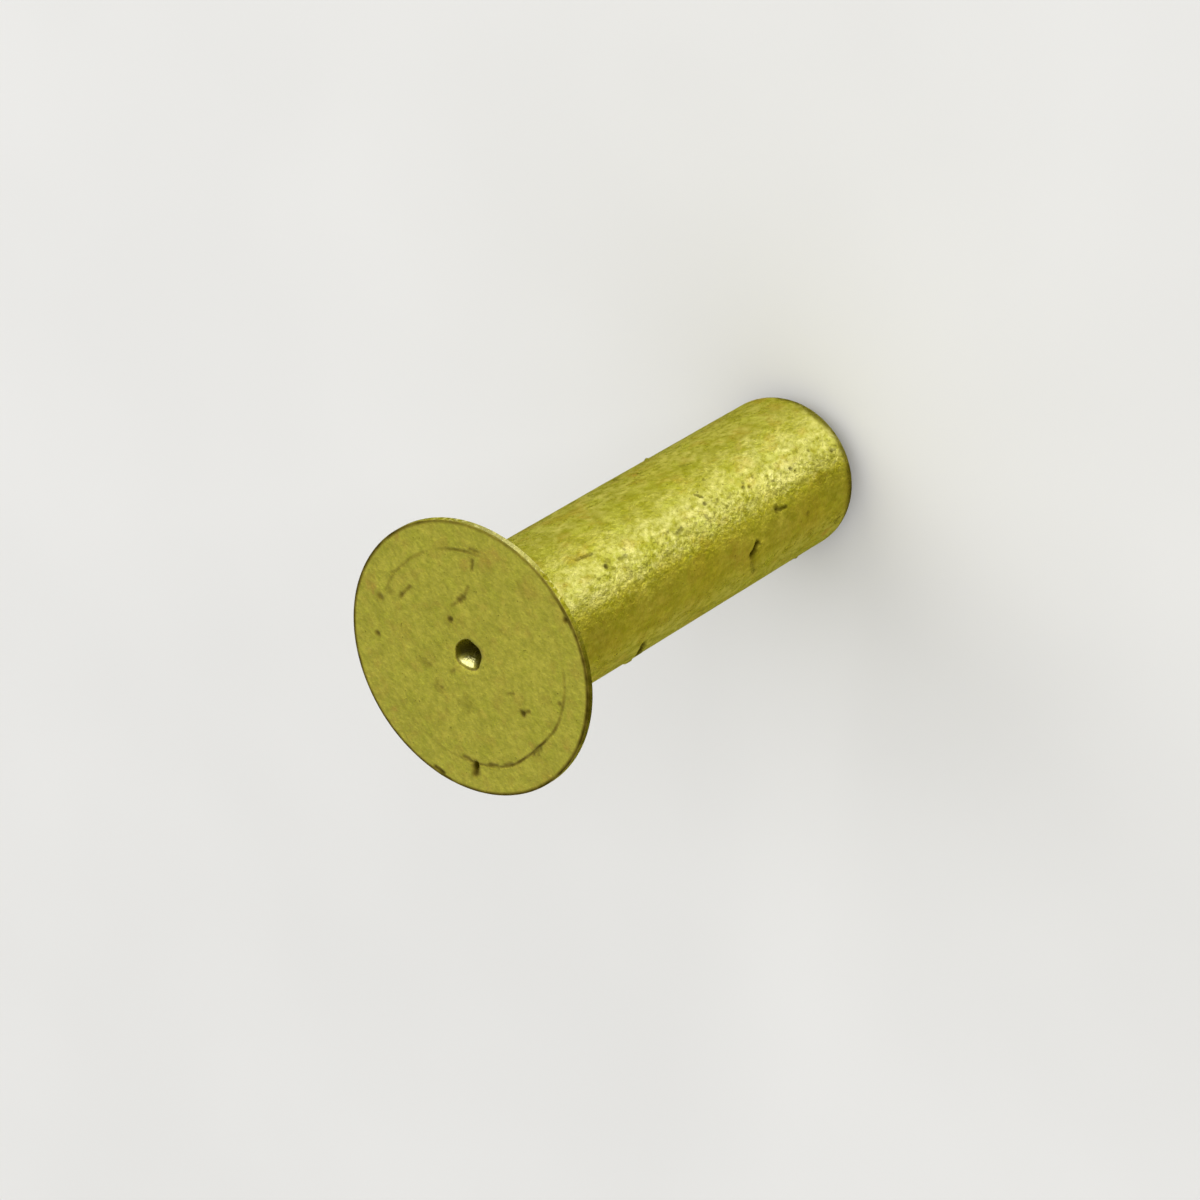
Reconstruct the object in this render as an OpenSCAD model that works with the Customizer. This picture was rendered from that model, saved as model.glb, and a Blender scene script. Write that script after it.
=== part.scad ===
// Solid flush rivet: a straight round shank with a countersunk head that ends flush with the sheet.
// It stands on its tail end: Z = 0 is the flat of the tail, and +Z runs up the shank to the head.
// One profile, drawn in the plane through the axis, is turned once round Z.

/* [Shank] */
// Diameter of the shank
shank_d = 3.2; // [2.4:0.1:4]
// Length over all, from the flat of the tail to the face of the head
length = 11; // [6:0.5:25]
// Rounding of the edge at the tail end
tail_round = 0.62; // [0.1:0.02:1]
// Fillet where the shank runs into the head
neck_round = 0.15; // [0.05:0.01:0.5]

/* [Head] */
// Diameter of the head at its rim
head_d = 5.55; // [4.6:0.05:8]
// Angle between the two sides of the countersunk cone
head_angle = 100; // [78:1:120]
// Height of the straight band round the rim
rim_h = 0.12; // [0.06:0.01:0.3]
// Rounding of the edge between the rim and the face
rim_round = 0.03; // [0.01:0.01:0.05]

/* [Face] */
// Width of the low border between the rim and the raised disc that the heading punch leaves
border_w = 0.57; // [0.3:0.01:1]
// Height of the raised disc above the border
disc_h = 0.02; // [0.01:0.01:0.06]
// Width of the slope round the raised disc
disc_slope = 0.04; // [0.02:0.01:0.1]
// Diameter of the dimple at its mouth
dimple_d = 0.65; // [0.5:0.05:1.2]
// Angle between the two sides of the dimple
dimple_angle = 64; // [40:2:100]
// Radius of the round bottom of the dimple
dimple_nose = 0.16; // [0.05:0.01:0.2]

/* [Hidden] */
$fn = 128;
shank_r = shank_d / 2;
head_r = head_d / 2;
half_cone = head_angle / 2;

// an arc that touches a sloping side is drawn this much wider, so that it crosses it cleanly
bite = 0.0002;

// heights up the axis
rim_top = length - disc_h;
cone_top = rim_top - rim_h;
neck_z = cone_top - (head_r - shank_r) / tan(half_cone);

// the neck's arc touches the side of the shank and the side of the cone
neck_reach = neck_round * tan(half_cone / 2);
neck_x = shank_r + neck_round;
neck_centre_z = neck_z - neck_reach;
neck_touch_x = shank_r + neck_reach * sin(half_cone);
neck_touch_z = neck_z + neck_reach * cos(half_cone);

// radii at the foot and at the top of the slope round the raised disc
disc_foot = head_r - border_w;
disc_top = disc_foot - disc_slope;

// the round bottom of the dimple touches its sloping side
dimple_half = dimple_angle / 2;
dimple_mouth = dimple_d / 2;
dimple_touch_x = dimple_nose * cos(dimple_half);
dimple_touch_z = length - (dimple_mouth - dimple_touch_x) / tan(dimple_half);
dimple_centre_z = dimple_touch_z + dimple_nose * sin(dimple_half);

// The straight side, less the corner that the rounding of the tail takes off
module shank_profile() {
    difference() {
        square([shank_r, cone_top]);
        translate([shank_r - tail_round, 0])
            difference() {
                square(tail_round);
                translate([0, tail_round]) circle(tail_round);
            }
    }
}

// The cone and the rim, hollowed at the neck and rounded at the edge of the face
module head_profile() {
    difference() {
        polygon([
            [0, neck_centre_z], [neck_x, neck_centre_z], [neck_touch_x, neck_touch_z],
            [head_r, cone_top], [head_r, rim_top], [0, rim_top]
        ]);
        translate([neck_x, neck_centre_z]) circle(neck_round + bite);
        translate([head_r - rim_round, rim_top - rim_round])
            difference() {
                square(rim_round);
                circle(rim_round);
            }
    }
}

// The low disc on the face, inside the line that the heading punch leaves
module disc_profile() {
    polygon([
        [0, cone_top], [disc_foot, cone_top], [disc_foot, rim_top], [disc_top, length], [0, length]
    ]);
}

// The space of the dimple: sloping sides down to a round bottom
module dimple_profile() {
    polygon([
        [0, dimple_centre_z], [dimple_touch_x, dimple_touch_z], [dimple_mouth, length], [0, length]
    ]);
    translate([0, dimple_centre_z]) circle(dimple_nose + bite);
}

module rivet() {
    color("#a9a13c")
        rotate_extrude()
            difference() {
                union() {
                    shank_profile();
                    head_profile();
                    disc_profile();
                }
                dimple_profile();
            }
}

rivet();
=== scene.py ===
import math
from collections import namedtuple

import bmesh
import bpy
import numpy as np
from mathutils import Matrix, Vector, noise


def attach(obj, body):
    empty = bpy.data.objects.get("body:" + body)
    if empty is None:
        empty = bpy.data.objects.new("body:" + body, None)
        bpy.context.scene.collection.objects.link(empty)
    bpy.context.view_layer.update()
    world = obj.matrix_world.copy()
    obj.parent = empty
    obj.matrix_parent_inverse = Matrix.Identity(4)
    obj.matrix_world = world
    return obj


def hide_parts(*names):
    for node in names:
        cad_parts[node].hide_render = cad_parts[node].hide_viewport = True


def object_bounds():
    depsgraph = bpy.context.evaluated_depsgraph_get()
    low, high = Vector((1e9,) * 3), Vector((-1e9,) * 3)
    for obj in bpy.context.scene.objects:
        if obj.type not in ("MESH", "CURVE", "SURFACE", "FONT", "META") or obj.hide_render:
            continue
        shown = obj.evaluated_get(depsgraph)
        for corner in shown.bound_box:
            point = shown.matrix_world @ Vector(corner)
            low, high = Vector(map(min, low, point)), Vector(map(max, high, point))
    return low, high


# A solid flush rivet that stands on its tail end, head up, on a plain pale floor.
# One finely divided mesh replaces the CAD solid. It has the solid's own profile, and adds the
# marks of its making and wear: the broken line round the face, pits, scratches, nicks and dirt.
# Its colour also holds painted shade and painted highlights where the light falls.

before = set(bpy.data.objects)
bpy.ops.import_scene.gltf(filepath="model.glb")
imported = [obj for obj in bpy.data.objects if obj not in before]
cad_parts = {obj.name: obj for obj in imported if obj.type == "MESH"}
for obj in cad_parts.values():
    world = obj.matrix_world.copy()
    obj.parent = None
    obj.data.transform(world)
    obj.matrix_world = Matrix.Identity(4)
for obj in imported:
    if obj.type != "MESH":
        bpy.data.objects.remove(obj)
cad_low, cad_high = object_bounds()

# ---------------------------------------------------------------- sizes, in metres
MM = 0.001
NODE = "rivet"

# The part's driving sizes. Length and head come from the CAD's box, the others are repeated.
LENGTH = cad_high.z - cad_low.z
HEAD_R = (cad_high.x - cad_low.x) / 2
SHANK_R = 1.6 * MM
TAIL_ROUND = 0.62 * MM
NECK_ROUND = 0.15 * MM
HALF_CONE = math.radians(50)
RIM_H = 0.12 * MM
RIM_ROUND = 0.03 * MM
BORDER_W = 0.57 * MM
DISC_H = 0.02 * MM
DISC_SLOPE = 0.04 * MM
DIMPLE_R = 0.325 * MM
DIMPLE_HALF = math.radians(32)
DIMPLE_NOSE = 0.16 * MM

# What follows from them
RIM_TOP = LENGTH - DISC_H
CONE_TOP = RIM_TOP - RIM_H
NECK_Z = CONE_TOP - (HEAD_R - SHANK_R) / math.tan(HALF_CONE)
DISC_FOOT = HEAD_R - BORDER_W
DISC_TOP = DISC_FOOT - DISC_SLOPE
EDGE_START = RIM_TOP - RIM_ROUND
# Where the drawn film gives way to the stamped one, on the rim's rounded edge
FILM_LIMIT = RIM_TOP - 0.6 * RIM_ROUND

# Mesh density: the sides round the axis, and the longest steps along the outline
SIDES = 240
COARSE = 0.060 * MM
TAIL_STEP = COARSE * 1.5
FINE = 0.020 * MM
MEDIUM = FINE * 1.5
FINEST = FINE / 2
# Each pass divides the faces round the marks: within so many half widths of a mark's middle
# line, for marks whose half width is under so many millimetres.
REFINE_PASSES = ((2.4, 1.0), (1.5, 0.045))

# ---------------------------------------------------------------- main camera
# Where the camera stands, from the fitted view: its height angle over the face, its roll, its
# lens, and the place of the face's centre in the picture.
SENSOR = 36.0
LENS = 148.53
VIEW_HEIGHT = math.radians(46.65)
VIEW_ROLL = math.radians(-120.88)
FACE_RIGHT = -2.4592 * MM
FACE_DOWN = 1.1046 * MM
FACE_AHEAD = 92.650 * MM
CLIP_NEAR = 0.005
CLIP_FAR = 5.0

UP = Vector((0, 0, 1))
BACK = Vector((0, -math.cos(VIEW_HEIGHT), math.sin(VIEW_HEIGHT)))
LEVEL = Vector((1, 0, 0))
RISE = BACK.cross(LEVEL)
CAM_X = LEVEL * math.cos(VIEW_ROLL) + RISE * math.sin(VIEW_ROLL)
CAM_Y = RISE * math.cos(VIEW_ROLL) - LEVEL * math.sin(VIEW_ROLL)

# directions along the face that look rightward and downward in the picture
FACE_X = (CAM_X - UP * CAM_X.dot(UP)).normalized()
FACE_Y = FACE_X.cross(UP)


# ---------------------------------------------------------------- places on the surface
def on_face(right, down):
    """A point of the face, in millimetres from its centre as the picture shows it."""
    return (FACE_X * right + FACE_Y * down) * MM + UP * LENGTH


def on_shank(turn, below):
    """A point of the shank: degrees round from the camera's side, and mm below the face."""
    angle = math.radians(turn)
    return Vector((-SHANK_R * math.sin(angle), -SHANK_R * math.cos(angle), LENGTH - below * MM))


def on_cone(turn, share):
    """A point of the cone: degrees round, and a share of the way up from neck to rim."""
    angle = math.radians(turn)
    radius = SHANK_R + (HEAD_R - SHANK_R) * share
    height = NECK_Z + (CONE_TOP - NECK_Z) * share
    return Vector((-radius * math.sin(angle), -radius * math.cos(angle), height))


# ---------------------------------------------------------------- marks
# A mark runs from start to end. Width is its half width and depth how far it goes in, both in
# millimetres, and a depth below zero stands proud. Dirt is how dark it is filled, from 0 to 1.
Mark = namedtuple("Mark", "start end width depth dirt")


def pit(place, width, depth, dirt):
    """A mark that runs nowhere."""
    return Mark(place, place, width, depth, dirt)


FACE_MARKS = [
    # the pit above the dimple, and the three-cornered one on the right
    pit(on_face(-0.41, -0.69), 0.088, 0.028, 0.80),
    pit(on_face(1.26, 0.76), 0.088, 0.028, 0.80),
    Mark(on_face(1.30, 0.74), on_face(1.41, 0.68), 0.047, 0.014, 0.60),
    # the dark slot across the line at the bottom
    Mark(on_face(0.13, 2.21), on_face(0.15, 2.38), 0.099, 0.045, 1.00),
    Mark(on_face(-0.12, 2.12), on_face(0.04, 2.17), 0.063, 0.015, 0.55),
    # pits along the left side
    pit(on_face(-2.21, 0.09), 0.073, 0.020, 0.70),
    pit(on_face(-2.12, -0.71), 0.095, 0.016, 0.55),
    # short scratches on the upper left
    pit(on_face(-1.60, -0.88), 0.080, 0.016, 0.65),
    Mark(on_face(-1.58, -0.90), on_face(-1.38, -1.12), 0.051, 0.014, 0.45),
    Mark(on_face(-1.82, -1.27), on_face(-1.46, -1.61), 0.043, 0.008, 0.30),
    # the bent scratch above the dimple
    Mark(on_face(-0.40, -0.99), on_face(-0.22, -1.13), 0.047, 0.010, 0.35),
    Mark(on_face(-0.20, -1.17), on_face(-0.12, -1.25), 0.077, 0.018, 0.60),
    Mark(on_face(-0.08, -1.29), on_face(0.00, -1.49), 0.047, 0.008, 0.30),
    # the short upright mark below the line at the top
    Mark(on_face(0.11, -2.06), on_face(0.10, -1.87), 0.047, 0.014, 0.50),
    # the thick stretches of the line round the face
    Mark(on_face(1.53, 1.58), on_face(1.68, 1.43), 0.074, 0.014, 0.60),
    Mark(on_face(0.48, 2.11), on_face(0.64, 2.07), 0.063, 0.012, 0.60),
    Mark(on_face(0.84, 1.99), on_face(1.00, 1.91), 0.063, 0.010, 0.50),
    Mark(on_face(0.06, -2.27), on_face(0.22, -2.23), 0.056, 0.012, 0.50),
    pit(on_face(2.10, 0.31), 0.071, 0.014, 0.55),
    # small pits
    pit(on_face(-0.66, 0.79), 0.066, 0.012, 0.45),
    pit(on_face(-0.38, 0.43), 0.059, 0.010, 0.35),
    pit(on_face(-0.94, 0.39), 0.073, 0.008, 0.30),
    Mark(on_face(0.92, 0.45), on_face(1.04, 0.42), 0.043, 0.008, 0.40),
    pit(on_face(0.76, -0.81), 0.066, 0.008, 0.25),
    pit(on_face(1.66, 1.57), 0.059, 0.012, 0.40),
    # nicks in the rim
    pit(on_face(2.26, -1.45), 0.088, 0.020, 0.90),
    Mark(on_face(-0.82, 2.55), on_face(-0.64, 2.61), 0.063, 0.016, 0.85),
    pit(on_face(2.06, -1.79), 0.066, 0.012, 0.45),
]
SHANK_MARKS = [
    # along the bright band, from the head to the tail
    Mark(on_shank(-21, 2.30), on_shank(-19, 2.76), 0.041, 0.012, 0.45),
    pit(on_shank(-6, 2.83), 0.061, 0.028, 0.90),
    Mark(on_shank(-6, 3.26), on_shank(-5, 3.46), 0.054, 0.012, 0.40),
    Mark(on_shank(0, 5.00), on_shank(-2, 5.22), 0.054, 0.014, 0.40),
    pit(on_shank(-9, 6.16), 0.056, 0.024, 0.80),
    Mark(on_shank(-18, 6.12), on_shank(-14, 6.22), 0.044, 0.014, 0.50),
    pit(on_shank(-25, 6.64), 0.046, 0.014, 0.40),
    pit(on_shank(-5, 7.36), 0.056, 0.020, 0.65),
    pit(on_shank(-3, 7.52), 0.049, 0.014, 0.55),
    pit(on_shank(-8, 7.44), 0.046, 0.012, 0.50),
    pit(on_shank(-8, 7.76), 0.049, 0.012, 0.45),
    pit(on_shank(1, 8.86), 0.063, 0.016, 0.45),
    pit(on_shank(4, 8.94), 0.049, 0.014, 0.45),
    pit(on_shank(-4, 9.62), 0.049, 0.014, 0.50),
    pit(on_shank(5, 10.22), 0.073, 0.018, 0.55),
    Mark(on_shank(-45, 6.60), on_shank(-42, 6.86), 0.049, 0.008, 0.30),
    # the dark speck with a tail beside the band
    pit(on_shank(21, 7.98), 0.096, 0.034, 1.00),
    Mark(on_shank(22, 8.06), on_shank(23, 8.30), 0.056, 0.016, 0.75),
    # the deep scratch low on the side, with the metal that it pushed up
    Mark(on_shank(37, 7.20), on_shank(43, 7.04), 0.096, 0.042, 1.00),
    Mark(on_shank(38, 7.38), on_shank(49, 7.16), 0.070, -0.024, 0.00),
    Mark(on_shank(48, 7.06), on_shank(60, 7.26), 0.085, 0.012, 0.35),
    pit(on_shank(37, 9.00), 0.073, 0.014, 0.40),
    # nicks and burrs near the two sides
    Mark(on_shank(67, 3.62), on_shank(86, 3.86), 0.120, 0.034, 0.95),
    pit(on_shank(60, 10.20), 0.110, 0.014, 0.45),
    Mark(on_shank(88, 3.55), on_shank(88, 3.69), 0.062, -0.028, 0.42),
    pit(on_shank(85, 9.30), 0.061, -0.026, 0.60),
    pit(on_shank(-86, 7.00), 0.061, -0.030, 0.50),
    Mark(on_shank(-78, 5.60), on_shank(-70, 5.52), 0.056, 0.012, 0.45),
    Mark(on_shank(-66, 5.85), on_shank(-62, 5.90), 0.056, 0.010, 0.40),
]

# Stains lie on the film without depth: a place, its half width in mm and how strong it is.
Stain = namedtuple("Stain", "place width strength")
RUST_STAINS = [
    Stain(on_face(-2.35, -0.89), 0.20, 0.9),
    Stain(on_face(-1.68, -2.06), 0.18, 0.8),
    Stain(on_face(0.57, -2.31), 0.22, 0.6),
    Stain(on_face(0.40, -2.13), 0.34, 0.6),
    Stain(on_face(-0.06, -1.93), 0.18, 0.6),
    Stain(on_face(-1.80, 1.63), 0.14, 0.7),
    Stain(on_face(-2.24, 0.77), 0.14, 0.5),
    Stain(on_face(2.28, 1.15), 0.18, 0.6),
    Stain(on_face(1.34, -1.83), 0.34, 0.4),
    Stain(on_face(1.54, 1.41), 0.12, 0.7),
    Stain(on_face(1.76, 1.95), 0.20, 0.5),
    Stain(on_face(-0.86, 1.57), 0.50, 0.2),
    Stain(on_shank(-64, 5.85), 0.18, 0.9),
    Stain(on_shank(-49, 3.60), 0.20, 0.7),
    Stain(on_shank(-78, 3.00), 0.30, 0.4),
    Stain(on_shank(28, 2.10), 0.20, 0.5),
    Stain(on_shank(52, 4.20), 0.24, 0.5),
    Stain(on_shank(28, 5.30), 0.60, 0.45),
    Stain(on_shank(34, 6.60), 0.70, 0.55),
    Stain(on_shank(44, 8.20), 0.60, 0.40),
    Stain(on_shank(40, 3.60), 0.70, 0.35),
    Stain(on_shank(66, 9.90), 0.24, 0.8),
    Stain(on_shank(70, 2.20), 0.40, 0.5),
    Stain(on_shank(76, 5.60), 0.40, 0.4),
    Stain(on_shank(-70, 10.50), 0.40, 0.6),
    Stain(on_shank(-50, 10.10), 0.30, 0.4),
]
DARK_STAINS_AND_SHADE = [
    Stain(on_shank(4, 1.22), 0.10, 0.9),
    Stain(on_shank(-10, 1.14), 0.08, 0.7),
    Stain(on_shank(17, 1.26), 0.11, 0.6),
    Stain(on_face(1.24, -1.79), 0.20, 0.20),
    Stain(on_face(2.04, -1.83), 0.16, 0.22),
    Stain(on_face(-1.06, 0.33), 0.18, 0.20),
    Stain(on_face(-0.68, 0.77), 0.18, 0.20),
    Stain(on_face(-0.06, 0.97), 0.24, 0.18),
    Stain(on_face(-0.42, -0.65), 0.24, 0.18),
    Stain(on_face(-1.90, -0.95), 0.16, 0.25),
    # These two darken the shaded side of the shank: painted shade
    Stain(on_shank(30, 2.00), 0.60, 0.10),
    Stain(on_shank(21, 9.70), 0.60, 0.16),
]
# A stain is full inside this share of its width. Its edge is made ragged by two noises, which
# are worked out this far from its middle, each with its swing and its size, all in widths.
RUST_CORE = 0.1
DARK_CORE = 0.2
STAIN_REACH = 2.5
STAIN_RAGGED = ((0.7, 0.9), (0.5, 0.35))

# Marks that the picture doesn't reach, spread over the far side and the cone. The pairs are the
# limits that the draws keep to: places as on_shank and on_cone have them, widths and depths in
# mm, and a pit's depth as a share of its width.
SEED = 11
FAR_SIDE = (95, 265)
ALL_ROUND = (0, 360)
FAR_PITS = 34
PIT_BELOW = (1.5, 10.5)
PIT_WIDTH = (0.024, 0.046)
PIT_DEPTH = (0.3, 0.7)
PIT_DIRT = (0.3, 0.95)
FAR_SCRATCHES = 9
SCRATCH_BELOW = (1.8, 9.8)
SCRATCH_LEAN = (-7, 7)
SCRATCH_RUN = (0.15, 0.5)
SCRATCH_WIDTH = (0.020, 0.034)
SCRATCH_DEPTH = (0.006, 0.016)
SCRATCH_DIRT = (0.3, 0.7)
CONE_PITS = 12
CONE_SHARE = (0.15, 0.9)
CONE_WIDTH = (0.022, 0.044)
CONE_DEPTH = (0.3, 0.6)
CONE_DIRT = (0.3, 0.8)


def far_marks():
    """Pits and short scratches like those in view, on the surfaces out of view."""
    draw = np.random.default_rng(SEED)
    marks = []
    for _ in range(FAR_PITS):
        place = on_shank(draw.uniform(*FAR_SIDE), draw.uniform(*PIT_BELOW))
        width = draw.uniform(*PIT_WIDTH)
        marks.append(pit(place, width, width * draw.uniform(*PIT_DEPTH), draw.uniform(*PIT_DIRT)))
    for _ in range(FAR_SCRATCHES):
        turn = draw.uniform(*FAR_SIDE)
        below = draw.uniform(*SCRATCH_BELOW)
        lean = draw.uniform(*SCRATCH_LEAN)
        run = draw.uniform(*SCRATCH_RUN)
        marks.append(Mark(start=on_shank(turn, below),
                          end=on_shank(turn + lean, below + run),
                          width=draw.uniform(*SCRATCH_WIDTH),
                          depth=draw.uniform(*SCRATCH_DEPTH),
                          dirt=draw.uniform(*SCRATCH_DIRT)))
    for _ in range(CONE_PITS):
        place = on_cone(draw.uniform(*ALL_ROUND), draw.uniform(*CONE_SHARE))
        width = draw.uniform(*CONE_WIDTH)
        marks.append(pit(place, width, width * draw.uniform(*CONE_DEPTH), draw.uniform(*CONE_DIRT)))
    return marks


# ---------------------------------------------------------------- profile
def stretch(start, end, step):
    """Points from start towards end, evenly spaced and at most step apart, without end."""
    start, end = np.array(start), np.array(end)
    count = max(1, math.ceil(np.linalg.norm(end - start) / step))
    return [tuple(start + (end - start) * i / count) for i in range(count)]


def arc(centre, radius, first, last, step):
    """Points of an arc from angle first towards last, without the last."""
    count = max(2, math.ceil(abs(last - first) * radius / step))
    angles = [first + (last - first) * i / count for i in range(count)]
    return [(centre[0] + radius * math.cos(a), centre[1] + radius * math.sin(a)) for a in angles]


def profile():
    """The outline from the tail's centre to the bottom of the dimple, as (radius, height)."""
    quarter = math.pi / 2
    reach = NECK_ROUND * math.tan(HALF_CONE / 2)
    neck_x = SHANK_R + NECK_ROUND
    neck_z = NECK_Z - reach
    cone_x = SHANK_R + reach * math.sin(HALF_CONE)
    cone_z = NECK_Z + reach * math.cos(HALF_CONE)
    nose_x = DIMPLE_NOSE * math.cos(DIMPLE_HALF)
    nose_z = LENGTH - (DIMPLE_R - nose_x) / math.tan(DIMPLE_HALF)
    nose_centre = (0, nose_z + DIMPLE_NOSE * math.sin(DIMPLE_HALF))
    tail_centre = (SHANK_R - TAIL_ROUND, TAIL_ROUND)
    rim_centre = (HEAD_R - RIM_ROUND, EDGE_START)
    line_out = (DISC_FOOT + DISC_SLOPE, RIM_TOP)
    line_in = (DISC_TOP - DISC_SLOPE, LENGTH)
    points = stretch((0, 0), (SHANK_R - TAIL_ROUND, 0), TAIL_STEP)
    points += arc(tail_centre, TAIL_ROUND, -quarter, 0, COARSE)
    points += stretch((SHANK_R, TAIL_ROUND), (SHANK_R, neck_z), COARSE)
    points += arc((neck_x, neck_z), NECK_ROUND, 2 * quarter, 2 * quarter - HALF_CONE, FINE)
    points += stretch((cone_x, cone_z), (HEAD_R, CONE_TOP), COARSE)
    points += stretch((HEAD_R, CONE_TOP), (HEAD_R, EDGE_START), MEDIUM)
    points += arc(rim_centre, RIM_ROUND, 0, quarter, FINEST)
    points += stretch((HEAD_R - RIM_ROUND, RIM_TOP), line_out, COARSE)
    points += stretch(line_out, (DISC_FOOT, RIM_TOP), FINEST)
    points += stretch((DISC_FOOT, RIM_TOP), (DISC_TOP, LENGTH), FINEST)
    points += stretch((DISC_TOP, LENGTH), line_in, FINEST)
    points += stretch(line_in, (DIMPLE_R, LENGTH), COARSE)
    points += stretch((DIMPLE_R, LENGTH), (nose_x, nose_z), MEDIUM)
    points += arc(nose_centre, DIMPLE_NOSE, -DIMPLE_HALF, -quarter, MEDIUM)
    points.append((0, nose_centre[1] - DIMPLE_NOSE))
    return points


def turned(outline):
    """The closed mesh that the outline makes when it turns once round the Z axis."""
    rings = outline[1:-1]
    angles = 2 * math.pi * np.arange(SIDES) / SIDES
    around = np.stack([np.cos(angles), np.sin(angles)], axis=1)
    points = [(0, 0, outline[0][1])]
    for radius, height in rings:
        points += [(radius * x, radius * y, height) for x, y in around]
    points.append((0, 0, outline[-1][1]))
    top = len(points) - 1
    faces = []
    for j in range(SIDES):
        k = (j + 1) % SIDES
        faces.append((0, 1 + k, 1 + j))
        for i in range(len(rings) - 1):
            low = 1 + i * SIDES
            faces.append((low + j, low + k, low + SIDES + k, low + SIDES + j))
        last = 1 + (len(rings) - 1) * SIDES
        faces.append((last + j, last + k, top))
    mesh = bpy.data.meshes.new(NODE)
    mesh.from_pydata(points, [], faces)
    return mesh


# ---------------------------------------------------------------- measures at the mesh's points
# Each function takes many points at once and gives a number for each. Where MM is added to the
# points, the noise is read at another place, so that two noises aren't alike.
NECK_REACH = 2 * MM


def smooth(value, low, high):
    """0 below low, 1 above high, and an even ease between."""
    share = np.clip((value - low) / (high - low), 0, 1)
    return share * share * (3 - 2 * share)


def bump_at(degrees, middle, spread):
    """1 at an angle, falling to 0 a spread away from it, in degrees."""
    gap = (degrees - middle + 180) % 360 - 180
    return np.clip(1 - (gap / spread) ** 2, 0, 1) ** 2


def roughly(points, wavelength, wanted=None):
    """Smooth noise from about -1 to 1 at each point, or only at the wanted ones."""
    values = np.zeros(len(points))
    chosen = np.arange(len(points)) if wanted is None else np.flatnonzero(wanted)
    values[chosen] = [noise.noise(Vector(points[i]) / wavelength) for i in chosen]
    return values


def patchy(points, level, swing, size, least=-math.inf, most=math.inf):
    """Noise that swings about a level in patches of a size, kept between least and most."""
    return np.clip(level + swing * roughly(points, size), least, most)


def axis_distance(points):
    """How far each point lies from the rivet's axis."""
    return np.hypot(points[:, 0], points[:, 1])


def face_angle(points):
    """The angle of each point round the face in degrees, 0 at the picture's right, clockwise."""
    right = points @ np.array(FACE_X)
    down = points @ np.array(FACE_Y)
    return np.degrees(np.arctan2(down, right))


def shank_turn(points):
    """The turn of each point round the axis in degrees, as on_shank counts it."""
    return np.degrees(np.arctan2(-points[:, 0], -points[:, 1]))


def on_top(points):
    """Whether each point lies on the head's top, with the rounded edge of the rim."""
    return points[:, 2] > EDGE_START


def near_neck(points):
    """1 at the neck, falling to 0 down the shank."""
    return smooth(points[:, 2], NECK_Z - NECK_REACH, NECK_Z)


# ---------------------------------------------------------------- shape of a mark
# A mark's edge is made ragged by a noise. These are its swing, the length of its waves and how
# far out it goes, all in half widths of the mark.
RAGGED = 0.45
RAGGED_WAVE = 1.3
RAGGED_REACH = 3
# The low lip round a mark: the middle of its section and its half width, in half widths of the
# mark, and its height as a share of the mark's depth
LIP_MIDDLE = 1.25
LIP_HALF = 0.35
LIP_HEIGHT = 0.18


def distance(points, mark):
    """How far each point lies from the middle line of a mark."""
    start, end = np.array(mark.start), np.array(mark.end)
    along = end - start
    length = along @ along
    if length == 0:
        return np.linalg.norm(points - start, axis=1)
    share = np.clip((points - start) @ along / length, 0, 1)
    return np.linalg.norm(points - start - share[:, None] * along, axis=1)


def refine(bm, marks, reach, under):
    """Divides the faces near the marks in four, as REFINE_PASSES says."""
    bm.faces.ensure_lookup_table()
    centres = np.array([f.calc_center_median() for f in bm.faces])
    near = np.zeros(len(centres), bool)
    for mark in marks:
        if mark.width < under:
            near |= distance(centres, mark) < mark.width * MM * reach
    edges = {e for i in np.flatnonzero(near) for e in bm.faces[i].edges}
    bmesh.ops.subdivide_edges(bm, edges=list(edges), cuts=1, use_grid_fill=True)


def edge_share(points, mark):
    """How far each point lies from a mark's middle line, where 1 is the mark's ragged edge."""
    share = distance(points, mark) / (mark.width * MM)
    return share + RAGGED * roughly(points, mark.width * RAGGED_WAVE * MM, share < RAGGED_REACH)


def hollow(share):
    """The section of a mark, from its middle line at 0 out: a bowl with a low lip round it."""
    bowl = np.where(share < 1, (1 - np.maximum(share, 0) ** 2) ** 2, 0)
    ridge = (share - LIP_MIDDLE) / LIP_HALF
    lip = np.where(abs(ridge) < 1, (1 - ridge**2) ** 2, 0) * LIP_HEIGHT
    return bowl - lip


# ---------------------------------------------------------------- shape of the face
# Where the line round the face shows, in degrees from the picture's right, clockwise: the long
# arc at the lower right, the short one at the top and what is left of it at the upper left.
# Each has its middle, its reach to either side and its strength, and elsewhere the line is faint.
LINE_ARCS = [(44, 84, 1.0), (82, 16, 0.8), (-94, 22, 0.8), (-126, 16, 0.55), (-147, 16, 0.5)]
LINE_FAINT = 0.10
# The groove along it: its depth and its half width
LINE_GROOVE = 0.012 * MM
LINE_HALF = 0.054 * MM
# The line isn't a true circle. It runs inward at one place, given by its middle, its reach and
# how far in. It lies off centre, and it wanders slowly and in a fine ripple. The metal beside it
# moves too, out to the radii where the pull starts and ends.
LINE_FLAT = (42, 26, 0.075 * MM)
LINE_SHIFT = (0.04 * MM, -0.02 * MM)
LINE_WANDER = 0.03 * MM
WANDER_SIZE = 1.1 * MM
LINE_RIPPLE = 0.010 * MM
RIPPLE_SIZE = 0.22 * MM
LINE_PULL_START = 1.5 * MM
LINE_PULL_END = 2.6 * MM
# The border rises by one share of the step up to the disc, and by another where the line is
# faint, which fades out towards the border's end.
BORDER_RISE = 0.45
FAINT_RISE = 0.45
BORDER_END = 2.62 * MM
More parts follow.
